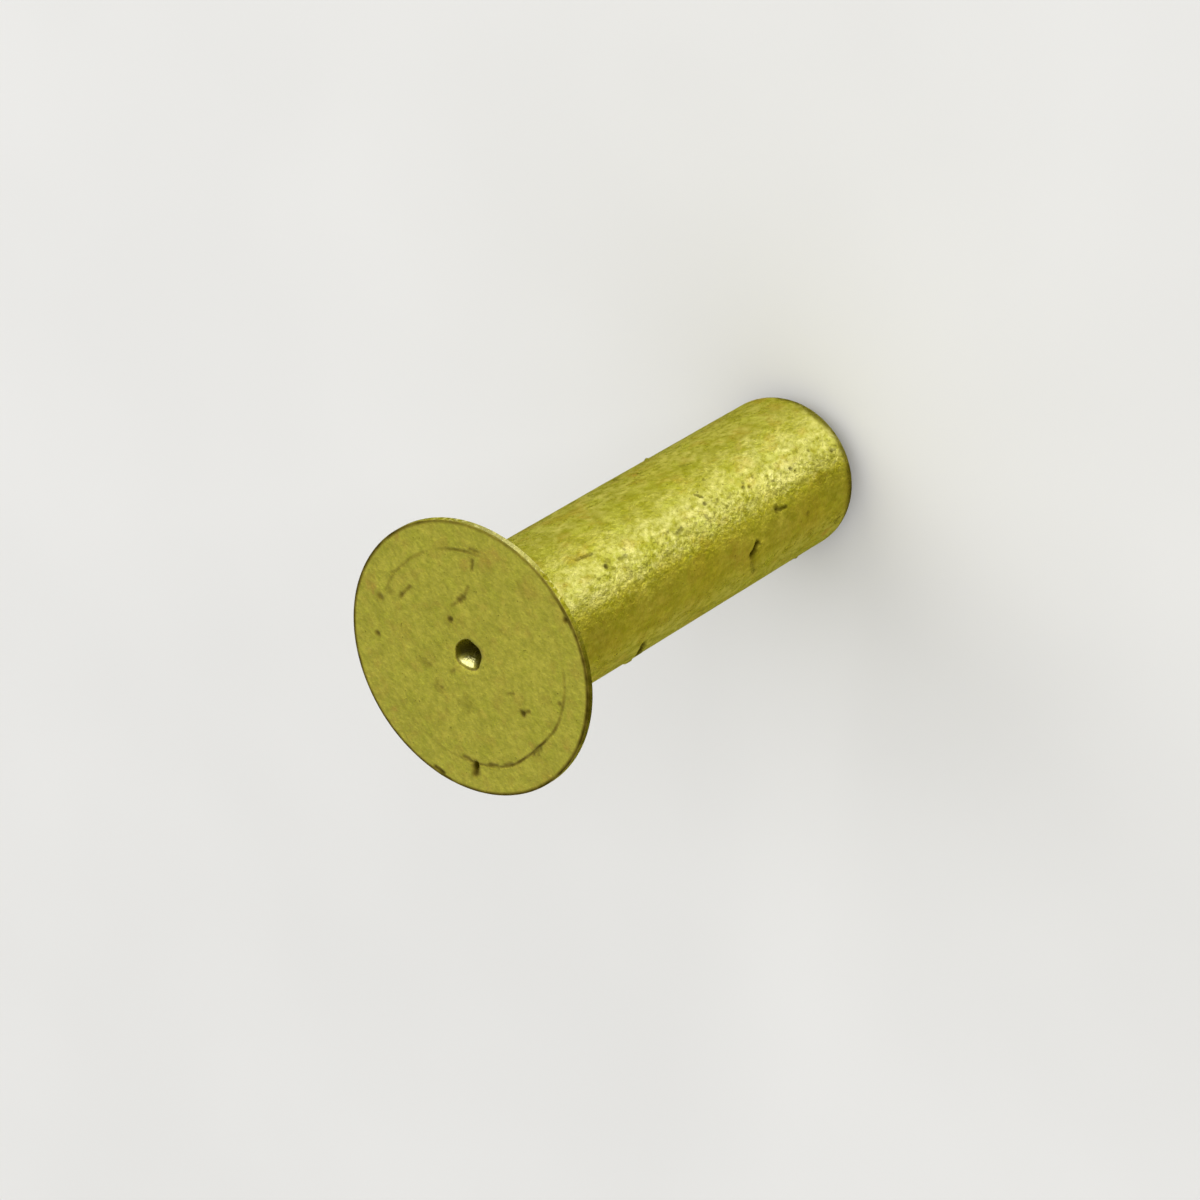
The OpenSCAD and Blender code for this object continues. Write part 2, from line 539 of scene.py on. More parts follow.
# The dimple's shift to the picture's right and down in mm, the zone of the head that can move
# with it, and the radii between which the face stops moving with it. Its mouth is taken a little
# wide, because it is ragged.
DIMPLE_SHIFT = (-0.015, -0.075)
DIMPLE_ZONE = 0.9 * MM
DIMPLE_HOLD = (0.4 * MM, 0.85 * MM)
DIMPLE_DEEP = 0.5 * MM
DIMPLE_MOUTH = DIMPLE_R * 1.08
# The mouth is bent out of round: how far, how long the waves are, how much slower they change
# down the wall, and the radius inside which the bend grows no sharper
DIMPLE_BENT = 0.045 * MM
BENT_SIZE = 0.24 * MM
BENT_STRETCH = (1, 1, 0.3)
BENT_CORE = 0.2 * MM
# Metal left on one wall makes it less steep. That wall gets a painted highlight between two depths,
# and below a depth the rest of the dimple gets painted shade
DIMPLE_LIT_TURN = 106
DIMPLE_LEFT = 0.12 * MM
LEFT_SPREAD = 80
LEFT_DEPTH = 0.30 * MM
HIGHLIGHT_SPREAD = 60
HIGHLIGHT_GAIN = 1.6
HIGHLIGHT_START = (0.03 * MM, 0.08 * MM)
HIGHLIGHT_END = (0.24 * MM, 0.36 * MM)
DIMPLE_SHADE_DEPTH = 0.04 * MM
# The metal isn't quite true: a slow unevenness, and a finer one left by the dies
UNEVEN = 0.0030 * MM
UNEVEN_SIZE = 1.3 * MM
DIE_MARKS = 0.0012 * MM
DIE_SIZE = 0.30 * MM


def line_strength(points):
    """How strongly the line round the face shows at each point's angle."""
    degrees = face_angle(points)
    shown = np.full(len(points), LINE_FAINT)
    for middle, spread, strength in LINE_ARCS:
        shown = np.maximum(shown, strength * bump_at(degrees, middle, spread))
    return np.clip(shown * patchy(points, level=0.8, swing=0.35, size=0.35 * MM), 0, 1)


def line_groove(points):
    """The dirty groove at the foot of the disc, 1 on the line and 0 beside it."""
    gap = abs(axis_distance(points) - DISC_FOOT + DISC_SLOPE / 2) / LINE_HALF
    return np.where(on_top(points) & (gap < 1), (1 - gap**2) ** 2, 0) * line_strength(points)


def bend_line(points, radius, degrees):
    """Lets the line round the face wander, with the metal beside it."""
    middle, spread, inward = LINE_FLAT
    angle = np.radians(degrees)
    wander = inward * bump_at(degrees, middle, spread) - LINE_WANDER * roughly(points, WANDER_SIZE)
    wander -= LINE_RIPPLE * roughly(points + MM, RIPPLE_SIZE)
    wander -= LINE_SHIFT[0] * np.cos(angle) + LINE_SHIFT[1] * np.sin(angle)
    about_line = smooth(radius, LINE_PULL_START, DISC_TOP)
    about_line *= 1 - smooth(radius, DISC_FOOT, LINE_PULL_END)
    pull = np.where(on_top(points), wander * about_line / np.maximum(radius, MM), 0)
    points[:, :2] *= (1 - pull)[:, None]


def raise_border(points, radius):
    """Raises the border towards the disc's level, most where the line is faint."""
    border = on_top(points) & (radius > DISC_TOP)
    faint = (1 - line_strength(points)) * (1 - smooth(radius, DISC_FOOT, BORDER_END))
    sunk = LENGTH - points[:, 2]
    points[:, 2] += np.where(border, sunk * (BORDER_RISE + FAINT_RISE * faint), 0)


def shape_dimple(points, radius, degrees):
    """Sets the dimple off centre and out of round, with metal left on one wall."""
    inside = (points[:, 2] > LENGTH - DIMPLE_DEEP) & (radius < DIMPLE_ZONE)
    left = bump_at(degrees, DIMPLE_LIT_TURN, LEFT_SPREAD)
    left *= smooth(LENGTH - points[:, 2], 0, LEFT_DEPTH)
    points[:, 2] += np.where(inside & (radius < DIMPLE_MOUTH), DIMPLE_LEFT * left, 0)
    shift = FACE_X * DIMPLE_SHIFT[0] * MM + FACE_Y * DIMPLE_SHIFT[1] * MM
    hold = np.where(inside, 1 - smooth(radius, *DIMPLE_HOLD), 0)
    bent = DIMPLE_BENT * roughly(points * BENT_STRETCH + MM, BENT_SIZE)
    bent /= np.maximum(radius, BENT_CORE)
    points[:, :2] *= (1 + hold * bent)[:, None]
    points += hold[:, None] * np.array(shift)


def shape_face(points):
    """The points with the line round the face, the border and the dimple as they really are."""
    radius = axis_distance(points)
    degrees = face_angle(points)
    shaped = points.copy()
    bend_line(shaped, radius, degrees)
    raise_border(shaped, radius)
    shape_dimple(shaped, radius, degrees)
    return shaped


def dimple_shade_and_highlight(points):
    """Painted shade on the dimple's wall and a painted highlight on its lit wall, each from 0 to 1.
    """
    depth = LENGTH - points[:, 2]
    inside = (axis_distance(points) < DIMPLE_MOUTH) & (depth < DIMPLE_DEEP)
    dimple_shade = np.where(inside, smooth(depth, 0.0, DIMPLE_SHADE_DEPTH), 0)
    dimple_highlight = bump_at(face_angle(points), DIMPLE_LIT_TURN, HIGHLIGHT_SPREAD)
    dimple_highlight *= smooth(depth, *HIGHLIGHT_START)
    dimple_highlight *= 1 - smooth(depth, *HIGHLIGHT_END)
    dimple_highlight = np.where(inside, np.clip(dimple_highlight * HIGHLIGHT_GAIN, 0, 1), 0)
    return dimple_shade * (1 - dimple_highlight), dimple_highlight


def surface_height(points, marks, worn):
    """How far each point stands proud of the profile, in metres."""
    height = -LINE_GROOVE * line_groove(points)
    for mark, away in zip(marks, worn):
        height -= hollow(away) * mark.depth * MM
    height += UNEVEN * roughly(points, UNEVEN_SIZE)
    height += DIE_MARKS * roughly(points + MM, DIE_SIZE)
    return height


# ---------------------------------------------------------------- dirt and painted shade
# Dirt fades out between these shares of a mark's half width
MARK_DIRT = (0.10, 1.45)
# How dark the painted shade in the dimple is
DIMPLE_SHADE_DARKNESS = 0.85
# The dark band on the face's edge, partly grime and partly painted shade: where it comes in,
# outward and upward, how ragged it is, and how much thinner on the rim's lit side
EDGE_OUTWARD = (HEAD_R - 2.7 * RIM_ROUND, HEAD_R - 1.7 * RIM_ROUND)
EDGE_UPWARD = (RIM_TOP - 0.9 * RIM_ROUND, RIM_TOP - 0.4 * RIM_ROUND)
EDGE_RAGGED = 0.016 * MM
EDGE_SIZE = 0.30 * MM
EDGE_THIN = 0.45
# The rim gets a painted highlight on its lit side and painted shade on its shaded side, in turns as
# on_shank has them
RIM_OUTWARD = (HEAD_R - 0.02 * MM, HEAD_R - 0.004 * MM)
RIM_LIT_TURN = -34
RIM_LIT_SPREAD = 70
RIM_SHADED_TURN = 40
RIM_SHADED_SPREAD = 60
# Painted shade on the tail's rounded edge, up to a ragged height
TAIL_SHADE = 0.90
TAIL_SHADE_TOP = 0.65 * MM
TAIL_SHADE_FADE = 0.26 * MM
TAIL_RAGGED = 0.09 * MM
TAIL_SIZE = 0.36 * MM
# Painted shade, faint, along the shank's two sides where they turn away: each with its turn and its
# reach
SHADED_SIDES = ((-90, 30), (88, 30))
SIDE_SHADE = 0.17
# Painted shade in the corner at the neck
NECK_SHADE = 0.5
NECK_FADE = (0.03 * MM, 0.14 * MM)
NECK_OUTWARD = SHANK_R * 1.2


def spots(points, stains, core):
    """How strongly each point is stained, from 0 to 1: full inside the core share of a stain."""
    shown = np.zeros(len(points))
    for stain_and_shade in stains:
        away = np.linalg.norm(points - np.array(stain_and_shade.place), axis=1) / (stain_and_shade.width * MM)
        near = away < STAIN_REACH
        for swing, size in STAIN_RAGGED:
            away += swing * roughly(points, stain_and_shade.width * size * MM, near)
        shown = np.maximum(shown, stain_and_shade.strength * (1 - smooth(away, core, 1.0)))
    return shown


def edge_dirt_and_shade(points, radius, turn):
    """Grime and painted shade on the face's edge, thinner on the rim's lit side."""
    ragged = radius + EDGE_RAGGED * roughly(points + MM, EDGE_SIZE)
    edge = smooth(ragged, *EDGE_OUTWARD) * smooth(points[:, 2], *EDGE_UPWARD)
    return edge * (1 - EDGE_THIN * bump_at(turn, RIM_LIT_TURN, RIM_LIT_SPREAD))


def rim_dirt_and_shade(points, radius, turn):
    """The rim's darkness: dull patches, and painted shade on its shaded side."""
    rim_dull_and_shaded = patchy(points, level=0.35, swing=0.6, size=0.7 * MM, least=0, most=1)
    rim_dull_and_shaded = np.maximum(rim_dull_and_shaded, bump_at(turn, RIM_SHADED_TURN, RIM_SHADED_SPREAD))
    return smooth(radius, *RIM_OUTWARD) * rim_dull_and_shaded


def tail_shade(points):
    """Painted shade on the tail's rounded edge."""
    uneven = points[:, 2] + TAIL_RAGGED * roughly(points, TAIL_SIZE)
    return TAIL_SHADE * (1 - smooth(uneven, TAIL_SHADE_TOP - TAIL_SHADE_FADE, TAIL_SHADE_TOP))


def surface_dirt_and_shade(points, marks, worn):
    """How dark each point is, from 0 to 1: the strongest of its kinds of dirt and of painted shade.
    """
    radius = axis_distance(points)
    turn = shank_turn(points)
    breaks = patchy(points, level=0.62, swing=0.6, size=0.16 * MM, least=0, most=1)

    def broken(dirt, steady, breaking):
        """Darkness with a steady share, and a share that comes and goes with the breaks."""
        return dirt * (steady + breaking * breaks)

    kinds = [mark.dirt * (1 - smooth(away, *MARK_DIRT)) for mark, away in zip(marks, worn)]
    kinds.append(spots(points, DARK_STAINS_AND_SHADE, DARK_CORE))
    kinds.append(broken(line_groove(points), steady=0.45, breaking=0.5))
    kinds.append(broken(edge_dirt_and_shade(points, radius, turn), steady=0.58, breaking=0.38))
    kinds.append(broken(rim_dirt_and_shade(points, radius, turn), steady=0.55, breaking=0.35))
    kinds.append(broken(tail_shade(points), steady=0.7, breaking=0.3))
    # painted shade along the shank's two sides
    for middle, spread in SHADED_SIDES:
        side = np.where(points[:, 2] < NECK_Z, bump_at(turn, middle, spread), 0)
        kinds.append(broken(SIDE_SHADE * side, steady=0.6, breaking=0.8))
    # painted shade in the neck's corner
    neck = NECK_SHADE * (1 - smooth(abs(points[:, 2] - NECK_Z), *NECK_FADE)) * breaks
    kinds.append(np.where(radius < NECK_OUTWARD, neck, 0))
    # painted shade on the dimple's wall
    kinds.append(DIMPLE_SHADE_DARKNESS * dimple_shade_and_highlight(points)[0])
    return np.maximum.reduce(kinds)


# ---------------------------------------------------------------- wear, painted highlights and colour of the film
# The band of the shank where the highlight falls: its crumbs of bare metal are partly rubbed film
# and partly painted glints, fewer near the neck
GLINT_TURN = 0
GLINT_SPREAD = 26
RUBBED_AND_GLINTS = 0.35
NECK_SPARED = 0.75
GLINTS_FROM = TAIL_ROUND * 0.5
# How strongly the rim's rubbed patches and its painted highlight show
RIM_RUBBED_AND_LIT = 0.80
RIM_UPWARD = (EDGE_START, FILM_LIMIT)
# Painted sheen on the shank: a band where the highlight falls, brighter still near the neck, a
# wide flank beside it, and a painted reflection on the lower flank, which come in and go out
# between these turns. The face has one paleness all over.
SHEEN_TURN = -8
SHEEN_SPREAD = 32
SHEEN_BAND = 0.45
SHEEN_NECK = 0.18
SHEEN_WIDE = 0.50
WIDE_IN = (-120, -70)
WIDE_OUT = (6, 20)
REFLECTION_LOW = 0.40
LOW_IN = (34, 66)
LOW_OUT = (95, 130)
PALE_FACE = 0.16
# The film's least paleness on the near side and on the far side, with the turns between them
PALE_LEAST = 0.12
PALE_FAR = 0.30
FAR_IN = (85, 115)
# The browner shaded side of the shank: partly browned film, partly painted shade
BROWN_SHADE_TURN = 40
BROWN_SHADE_SPREAD = 44
BROWN_LEVEL = 0.35
# How much brown comes with the dirt and the painted shade on the head's top
BROWN_IN_DIRT_AND_SHADE = 0.9


def rubbed_band_and_glints(points, turn):
    """Rubbed film and painted glints in the band where the highlight falls on the shank."""
    on_side = (points[:, 2] < NECK_Z) & (points[:, 2] > GLINTS_FROM)
    band = np.where(on_side, bump_at(turn, GLINT_TURN, GLINT_SPREAD), 0)
    band *= patchy(points, level=0.8, swing=0.6, size=0.45 * MM, least=0.3, most=1)
    return band * (1 - NECK_SPARED * near_neck(points)) * RUBBED_AND_GLINTS


def rubbed_and_lit_rim(points, turn):
    """The rim's bright metal colour: rubbed patches, and a painted highlight on its lit side."""
    rim = smooth(axis_distance(points), *RIM_OUTWARD)
    rim *= 1 - smooth(points[:, 2], *RIM_UPWARD)
    rim_rubbed_and_lit = patchy(points + MM, level=0.2, swing=0.8, size=0.9 * MM, least=0, most=1)
    rim_rubbed_and_lit = np.maximum(rim_rubbed_and_lit, bump_at(turn, RIM_LIT_TURN, RIM_LIT_SPREAD))
    rim_rubbed_and_lit *= 1 - bump_at(turn, RIM_SHADED_TURN, RIM_SHADED_SPREAD)
    return rim * rim_rubbed_and_lit * RIM_RUBBED_AND_LIT


def surface_wear_and_highlight(points):
    """How much bare metal colour each point has, from 0 to 1: rubbed film and painted highlights.
    """
    turn = shank_turn(points)
    # the painted highlight on the dimple's lit wall
    dimple_highlight = dimple_shade_and_highlight(points)[1]
    return np.maximum(np.maximum(dimple_highlight, rubbed_band_and_glints(points, turn)), rubbed_and_lit_rim(points, turn))


def sheen_and_pale_film(points):
    """Painted sheen and reflection on the shank, over the film's own paleness, from 0 to 1."""
    turn = shank_turn(points)
    wide = smooth(turn, *WIDE_IN) * (1 - smooth(turn, *WIDE_OUT))
    band = SHEEN_BAND + SHEEN_NECK * near_neck(points)
    sheen_and_pale = SHEEN_WIDE * wide + band * bump_at(turn, SHEEN_TURN, SHEEN_SPREAD)
    sheen_and_pale += REFLECTION_LOW * smooth(turn, *LOW_IN) * (1 - smooth(turn, *LOW_OUT))
    sheen_and_pale *= patchy(points, level=0.95, swing=0.3, size=0.9 * MM)
    least = PALE_LEAST + (PALE_FAR - PALE_LEAST) * smooth(abs(turn), *FAR_IN)
    sheen_and_pale = np.maximum(sheen_and_pale, least * patchy(points, level=1, swing=1, size=1.2 * MM))
    return np.where(points[:, 2] < CONE_TOP, sheen_and_pale, PALE_FACE)


def brown_shaded_side(points):
    """How brown the shaded side of the shank is, from 0 to 1: partly browned film, partly painted
    shade.
    """
    band = bump_at(shank_turn(points), BROWN_SHADE_TURN, BROWN_SHADE_SPREAD)
    band *= BROWN_LEVEL * patchy(points, level=0.8, swing=0.8, size=0.8 * MM, least=0.2, most=1.3)
    return np.where(points[:, 2] < NECK_Z, band, 0)


def surface_brown(points, dirt):
    """How brown each point is: stains, the shaded side, and what comes with dirt and painted shade
    on the top.
    """
    brown = np.maximum(spots(points, RUST_STAINS, RUST_CORE), brown_shaded_side(points))
    return np.maximum(brown, np.where(on_top(points), BROWN_IN_DIRT_AND_SHADE * dirt, 0))


# ---------------------------------------------------------------- the rivet
def material_number(face):
    """0 for the drawn film, and 1 for the stamped one, on the head's top and in the dimple."""
    centre = face.calc_center_median()
    head_top = centre.z > FILM_LIMIT
    in_dimple = centre.xy.length < DIMPLE_R and centre.z > LENGTH / 2
    return int(head_top or in_dimple)


def write_attribute(mesh, name, values):
    """Stores a number for each point of the mesh, for the materials to read."""
    mesh.attributes.new(name, "FLOAT", "POINT").data.foreach_set("value", values.astype(np.float32))


def rivet_mesh():
    """The rivet's visible mesh, with its marks as shape and its finish as attributes."""
    marks = FACE_MARKS + SHANK_MARKS + far_marks()
    mesh = turned(profile())
    bm = bmesh.new()
    bm.from_mesh(mesh)
    for reach, under in REFINE_PASSES:
        refine(bm, marks, reach, under)
    bm.normal_update()
    points = np.array([v.co for v in bm.verts])
    normals = np.array([v.normal for v in bm.verts])
    worn = [edge_share(points, mark) for mark in marks]
    dirt = surface_dirt_and_shade(points, marks, worn)
    height = surface_height(points, marks, worn)
    shaped = shape_face(points) + normals * height[:, None]
    shaped = np.clip(shaped, np.array(cad_low), np.array(cad_high))
    for vertex, place in zip(bm.verts, shaped):
        vertex.co = place
    for face in bm.faces:
        face.material_index = material_number(face)
    bm.to_mesh(mesh)
    bm.free()
    mesh.shade_smooth()
    write_attribute(mesh, "dirt", dirt)
    write_attribute(mesh, "stain_and_shade", surface_brown(points, dirt))
    write_attribute(mesh, "wear_and_highlight", surface_wear_and_highlight(points))
    write_attribute(mesh, "sheen_and_pale", sheen_and_pale_film(points))
    return mesh


def make_rivet():
    """The visible rivet, in place of the CAD solid."""
    mesh = rivet_mesh()
    drawn = film_material("drawn_film", anisotropy=0.85, coat=0.05, cloudy=0.66, grainy=0.62)
    stamped = film_material("stamped_film", anisotropy=0.0, coat=0.55, cloudy=0.50, grainy=0.40)
    mesh.materials.append(drawn)
    mesh.materials.append(stamped)
    piece = bpy.data.objects.new("rivet_finished", mesh)
    bpy.context.scene.collection.objects.link(piece)
    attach(piece, "root")
    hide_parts(NODE)
    print("rivet triangles:", sum(len(p.vertices) - 2 for p in mesh.polygons))


# ---------------------------------------------------------------- materials
YELLOW = (0.52, 0.47, 0.022, 1)
GREEN = (0.27, 0.265, 0.004, 1)
LIME = (0.38, 0.42, 0.008, 1)
BROWN = (0.42, 0.27, 0.030, 1)
# the pale film, and the colour of painted sheen
PALE_SHEEN = (0.60, 0.57, 0.19, 1)
# the colour of dirt, and of painted shade
DIRT_AND_SHADE = (0.058, 0.044, 0.001, 1)
# bare metal, and the colour of painted highlights and glints
BARE_AND_HIGHLIGHT = (0.92, 0.87, 0.36, 1)
EDGE_TINT = (0.05, 0.04, 0.015, 1)
FLOOR_LOW = (0.685, 0.68, 0.662, 1)
FLOOR_HIGH = (0.705, 0.70, 0.682, 1)
FLOOR_ROUGHNESS = 0.9

# How strongly each kind of patch shows at its fullest, in a film that is wholly cloudy
CLOUD_SHARE = 0.40
LIME_SHARE = 0.50
MOTTLE_SHARE = 0.85
FAINT_BROWN = 0.60
# How dark the specks of dirt are
SPECK_DIRT = 0.6
# How much dirt dulls the film, and how much solid bare metal shines
DIRT_DULLS = 0.3
METAL_SHINES = 0.15
# The heights of the film's relief, as shares of BUMP_HEIGHT: the fine grain of a film that isn't
# grainy and what graininess adds, the coarse grain, and the crumbs of bare metal
BUMP_HEIGHT = 0.014 * MM
GRAIN_LEAST = 0.25
GRAIN_ADDED = 2.2
COARSE_GRAIN = 2.2
CRUMB_HEIGHT = 2.5
# How the noises are scaled: evenly, or longer up the shank, as the drawn wire leaves the film's
# patches and, less so, the crumbs of bare metal
EVEN = (1, 1, 1)
DRAWN = (1, 1, 0.55)
CRUMBS = (1, 1, 0.75)
# Between these amounts of wear and painted highlight the crumbs close up, until the colour is solid
# bare metal
SOLID_WEAR = (0.60, 0.95)
COAT_ROUGHNESS = 0.35
COAT_IOR = 1.5
# A quarter turn lays the highlight up the shank and keeps it narrow round it
ALONG_SHANK = 0.25
# The colour sockets of a Mix node by number, because its sockets share their names
MIX_SHARE = 0
MIX_COLOURS = (6, 7)
MIX_RESULT = 2


class Nodes:
    """A material's node tree, with short calls to add and join nodes."""

    def __init__(self, name):
        self.material = bpy.data.materials.new(name)
        self.material.use_nodes = True
        self.tree = self.material.node_tree
        self.shader = self.tree.nodes["Principled BSDF"]

    def add(self, kind, **settings):
        """A new node, with its settings."""
        node = self.tree.nodes.new(kind)
        for key, value in settings.items():
            setattr(node, key, value)
        return node

    def feed(self, value, socket):
        """Gives a socket a value, or joins another node's output to it."""
        if isinstance(value, (int, float, tuple)):
            socket.default_value = value
        else:
            self.tree.links.new(value, socket)

    def noise(self, size, detail, scaling=EVEN):
        """Noise from 0 to 1 with features of about size millimetres."""
        place = self.add("ShaderNodeTexCoord").outputs["Object"]
        scale = self.add("ShaderNodeMapping")
        self.feed(place, scale.inputs["Vector"])
        self.feed(scaling, scale.inputs["Scale"])
        node = self.add("ShaderNodeTexNoise")
        self.feed(scale.outputs["Vector"], node.inputs["Vector"])
        self.feed(1 / (size * MM), node.inputs["Scale"])
        self.feed(detail, node.inputs["Detail"])
        return node.outputs["Fac"]

    def spread(self, value, low, high, to_low=0.0, to_high=1.0):
        """Maps low..high to to_low..to_high, with an even ease and no overshoot."""
        node = self.add("ShaderNodeMapRange", interpolation_type="SMOOTHSTEP")
        self.feed(value, node.inputs["Value"])
        self.feed(low, node.inputs["From Min"])
        self.feed(high, node.inputs["From Max"])
        self.feed(to_low, node.inputs["To Min"])
        self.feed(to_high, node.inputs["To Max"])
        return node.outputs["Result"]

    def patches(self, size, detail, low, high, least=0.0, most=1.0, scaling=EVEN):
        """Patches of a size in millimetres: noise from low to high, mapped to least and most."""
        return self.spread(self.noise(size, detail, scaling), low, high, least, most)

    def calc(self, operation, first, second):
        """Two values joined by a sum, a product or the like."""
        node = self.add("ShaderNodeMath", operation=operation)
        self.feed(first, node.inputs[0])
        self.feed(second, node.inputs[1])
        return node.outputs["Value"]

    def times(self, first, second):
        """The product of two values."""
        return self.calc("MULTIPLY", first, second)

    def most(self, first, second):
        """The larger of two values."""
        return self.calc("MAXIMUM", first, second)

    def mix(self, share, first, second):
        """The first colour, turned into the second by a share."""
        node = self.add("ShaderNodeMix", data_type="RGBA")
        self.feed(share, node.inputs[MIX_SHARE])
        self.feed(first, node.inputs[MIX_COLOURS[0]])
        self.feed(second, node.inputs[MIX_COLOURS[1]])
        return node.outputs[MIX_RESULT]

    def attribute(self, name):
        """The number that write_attribute stored under a name."""
        return self.add("ShaderNodeAttribute", attribute_name=name).outputs["Fac"]


def film_colour(n, scaling, cloudy, grainy):
    """The film's own colour: yellow, cloudy with greens, and paler where sheen is painted."""
    cloud = n.patches(size=0.9, detail=3, low=0.34, high=0.68)
    lime = n.patches(size=0.34, detail=4, low=0.50, high=0.66, scaling=scaling)
    mottle = n.patches(size=0.22, detail=5, low=0.36, high=0.68, scaling=scaling)
    fine = n.patches(size=0.09, detail=3, low=0.35, high=0.70, scaling=scaling)
    colour = n.mix(n.attribute("sheen_and_pale"), YELLOW, PALE_SHEEN)
    colour = n.mix(n.times(cloud, CLOUD_SHARE * cloudy), colour, GREEN)
    colour = n.mix(n.times(lime, LIME_SHARE * cloudy), colour, LIME)
    colour = n.mix(n.times(mottle, MOTTLE_SHARE * cloudy), colour, GREEN)
    return n.mix(n.times(fine, grainy), colour, GREEN)


def film_brown(n, wear_and_lit, scaling, cloudy):
    """Where the film is brown: its stains and faint patches, broken up, less where rubbed."""
    faint = n.patches(size=0.32, detail=4, low=0.50, high=0.68, scaling=scaling)
    brown = n.most(n.attribute("stain_and_shade"), n.times(faint, FAINT_BROWN * cloudy))
    brown = n.times(brown, n.patches(size=0.12, detail=3, low=0.30, high=0.60, least=0.45))
    return n.times(brown, n.spread(wear_and_lit, low=0.05, high=0.40, to_low=0.85, to_high=0.15))


def film_dirt_and_shade(n, wear_and_lit, crumbs, solid):
    """Where it is dark: dirt and painted shade as stored, specks, and dark pits between the crumbs.
    """
    # the pits are partly painted shade of the grain where the highlight falls
    pits = n.times(wear_and_lit, n.spread(crumbs, low=0.44, high=0.34, to_high=1.2))
    pits = n.times(pits, n.calc("SUBTRACT", 1.0, solid))
    speck = n.times(n.patches(size=0.06, detail=2, low=0.68, high=0.78), SPECK_DIRT)
    return n.most(n.attribute("dirt"), n.most(speck, pits))


def film_roughness(n, dirt, solid):
    """Satin, duller in dirt and shinier on solid bare metal."""
    rough = n.patches(size=0.10, detail=3, low=0.3, high=0.7, least=0.52, most=0.64)
    rough = n.calc("ADD", rough, n.times(dirt, DIRT_DULLS))
    return n.calc("SUBTRACT", rough, n.times(solid, METAL_SHINES))


def film_normal(n, wear_and_lit, crumbs, grainy):
    """The film's relief: a fine grain, a coarser one, and the crumbs of bare metal."""
    grain = n.times(n.noise(size=0.06, detail=3), GRAIN_ADDED * grainy + GRAIN_LEAST)
    grain = n.calc("ADD", grain, n.times(n.noise(size=0.20, detail=3), COARSE_GRAIN))
    grain = n.calc("ADD", grain, n.times(n.times(crumbs, wear_and_lit), CRUMB_HEIGHT))
    bump = n.add("ShaderNodeBump")
    n.feed(grain, bump.inputs["Height"])
    n.feed(1.0, bump.inputs["Strength"])
    n.feed(BUMP_HEIGHT, bump.inputs["Distance"])
    return bump.outputs["Normal"]


def film_material(name, anisotropy, coat, cloudy, grainy):
    """The thin yellow-green film on the alloy. Anisotropy draws the highlight out up the shank,
    coat is the film's clear gloss, and cloudy and grainy are how strong its patches and its
    grain are."""
    n = Nodes(name)
    shader = n.shader.inputs
    scaling = DRAWN if anisotropy else EVEN
    # bare metal colour shows in crumbs where the film is rubbed and glints are painted, and solid
    # in the painted highlights and where the film is gone
    wear_and_lit = n.attribute("wear_and_highlight")
    crumbs = n.noise(size=0.095, detail=3, scaling=CRUMBS)
    solid = n.spread(wear_and_lit, *SOLID_WEAR)
    bare = n.times(wear_and_lit, n.spread(crumbs, low=0.50, high=0.66))
    dirt = film_dirt_and_shade(n, wear_and_lit, crumbs, solid)
    colour = film_colour(n, scaling, cloudy, grainy)
    colour = n.mix(film_brown(n, wear_and_lit, scaling, cloudy), colour, BROWN)
    colour = n.mix(n.most(bare, solid), colour, BARE_AND_HIGHLIGHT)
    n.feed(n.mix(dirt, colour, DIRT_AND_SHADE), shader["Base Color"])
    n.feed(1.0, shader["Metallic"])
    n.feed(film_roughness(n, dirt, solid), shader["Roughness"])
    n.feed(EDGE_TINT, shader["Specular Tint"])
    covered = n.calc("SUBTRACT", 1.0, n.most(dirt, solid))
    n.feed(n.times(covered, coat), shader["Coat Weight"])
    n.feed(COAT_ROUGHNESS, shader["Coat Roughness"])
    n.feed(COAT_IOR, shader["Coat IOR"])
    if anisotropy:
        tangent = n.add("ShaderNodeTangent", direction_type="RADIAL", axis="Z")
        n.feed(tangent.outputs["Tangent"], shader["Tangent"])
        n.feed(anisotropy, shader["Anisotropic"])
        n.feed(ALONG_SHANK, shader["Anisotropic Rotation"])
    n.feed(film_normal(n, wear_and_lit, crumbs, grainy), shader["Normal"])
    return n.material


def floor_material():
    """Plain and pale, faintly cloudy, without a shine."""
    n = Nodes("pale_floor")
    cloud = n.patches(size=9, detail=2, low=0.3, high=0.7)
    n.feed(n.mix(cloud, FLOOR_LOW, FLOOR_HIGH), n.shader.inputs["Base Color"])
    n.feed(FLOOR_ROUGHNESS, n.shader.inputs["Roughness"])
    n.feed(0.0, n.shader.inputs["Specular IOR Level"])
    return n.material


# ---------------------------------------------------------------- floor, light and camera
FLOOR_HALF = 0.9
# A pale studio: light walls low down and a dimmer ceiling, blended between these heights, where
# straight up is 1
WORLD_LOW = (0.80, 0.80, 0.79, 1)
WORLD_HIGH = (0.72, 0.72, 0.72, 1)
CEILING_START = 0.05
CEILING_END = 0.60

# Soft rectangular lamps aimed at the rivet. Turn is degrees round from the camera's side, as for
# the shank, height is degrees over the floor, level is the share of full white that the lamp
# alone gives a white card facing it, and width and tall are its size in metres.
Lamp = namedtuple("Lamp", "name turn height level width tall")
LAMP_DISTANCE = 0.6
LAMPS = [
    Lamp("key", -85, 50, 0.275, 0.48, 0.48),
    Lamp("side", -95, 14, 0.28, 0.96, 0.20),
    Lamp("fill", 112, 20, 0.18, 0.86, 0.24),
    Lamp("front", -15, 12, 1.15, 0.67, 0.15),
]


def make_floor():
    """A square floor under the rivet."""
    mesh = bpy.data.meshes.new("floor")
    corners = [(x * FLOOR_HALF, y * FLOOR_HALF, 0) for x, y in ((-1, -1), (1, -1), (1, 1), (-1, 1))]
    mesh.from_pydata(corners, [], [(0, 1, 2, 3)])
    mesh.materials.append(floor_material())
    floor = bpy.data.objects.new("floor", mesh)
    bpy.context.scene.collection.objects.link(floor)


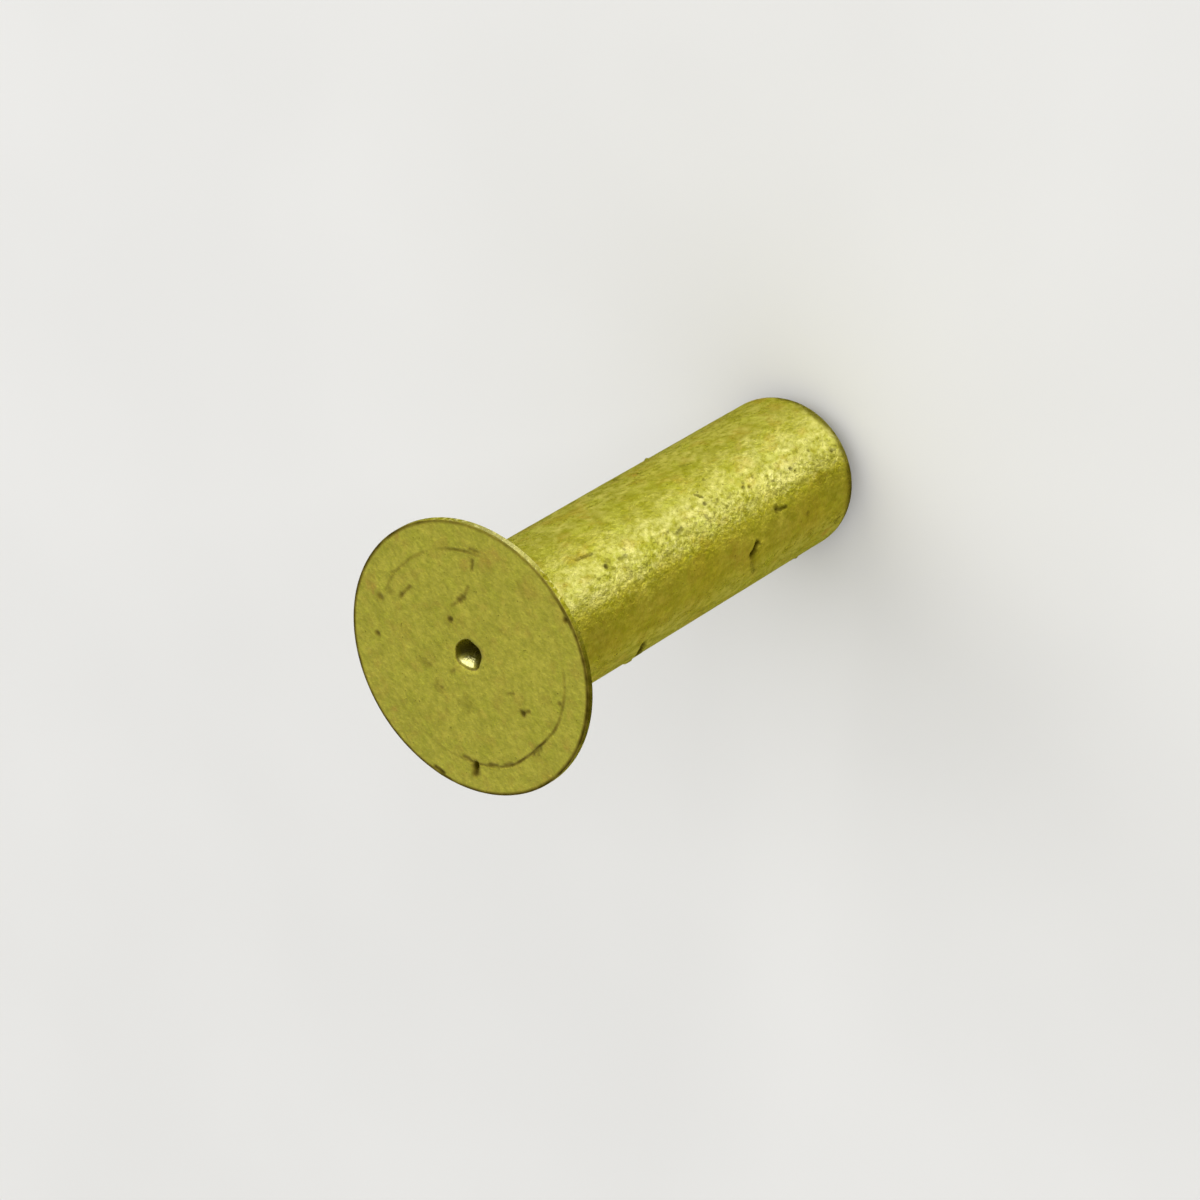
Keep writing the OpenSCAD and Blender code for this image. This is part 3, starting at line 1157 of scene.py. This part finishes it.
def make_world():
    """The pale studio all round."""
    world = bpy.data.worlds.new("studio")
    bpy.context.scene.world = world
    world.use_nodes = True
    tree = world.node_tree
    place = tree.nodes.new("ShaderNodeTexCoord")
    split = tree.nodes.new("ShaderNodeSeparateXYZ")
    ramp = tree.nodes.new("ShaderNodeMapRange")
    ramp.interpolation_type = "SMOOTHSTEP"
    ramp.inputs["From Min"].default_value = CEILING_START
    ramp.inputs["From Max"].default_value = CEILING_END
    mix = tree.nodes.new("ShaderNodeMix")
    mix.data_type = "RGBA"
    mix.inputs[MIX_COLOURS[0]].default_value = WORLD_LOW
    mix.inputs[MIX_COLOURS[1]].default_value = WORLD_HIGH
    tree.links.new(place.outputs["Generated"], split.inputs["Vector"])
    tree.links.new(split.outputs["Z"], ramp.inputs["Value"])
    tree.links.new(ramp.outputs["Result"], mix.inputs[MIX_SHARE])
    tree.links.new(mix.outputs[MIX_RESULT], tree.nodes["Background"].inputs["Color"])


def make_lamp(lamp):
    """One of the lamps, in its place."""
    light = bpy.data.lights.new(lamp.name, "AREA")
    light.shape = "RECTANGLE"
    light.size = lamp.width
    light.size_y = lamp.tall
    light.energy = math.pi**2 * lamp.level * LAMP_DISTANCE**2
    turn = math.radians(lamp.turn)
    height = math.radians(lamp.height)
    outward = math.cos(height)
    way = Vector((-math.sin(turn) * outward, -math.cos(turn) * outward, math.sin(height)))
    holder = bpy.data.objects.new(lamp.name, light)
    holder.location = way * LAMP_DISTANCE
    holder.rotation_mode = "QUATERNION"
    holder.rotation_quaternion = way.to_track_quat("Z", "Y")
    bpy.context.scene.collection.objects.link(holder)


def make_camera():
    """The main camera, in the photo's place."""
    data = bpy.data.cameras.new("camera")
    data.lens = LENS
    data.sensor_width = SENSOR
    data.clip_start = CLIP_NEAR
    data.clip_end = CLIP_FAR
    camera = bpy.data.objects.new("camera", data)
    at = UP * LENGTH - CAM_X * FACE_RIGHT + CAM_Y * FACE_DOWN + BACK * FACE_AHEAD
    turn = Matrix((CAM_X, CAM_Y, BACK)).transposed().to_4x4()
    camera.matrix_world = Matrix.Translation(at) @ turn
    bpy.context.scene.collection.objects.link(camera)
    bpy.context.scene.camera = camera


make_floor()
make_world()
for each_lamp in LAMPS:
    make_lamp(each_lamp)
make_camera()
make_rivet()
bpy.context.scene.view_settings.view_transform = "Standard"
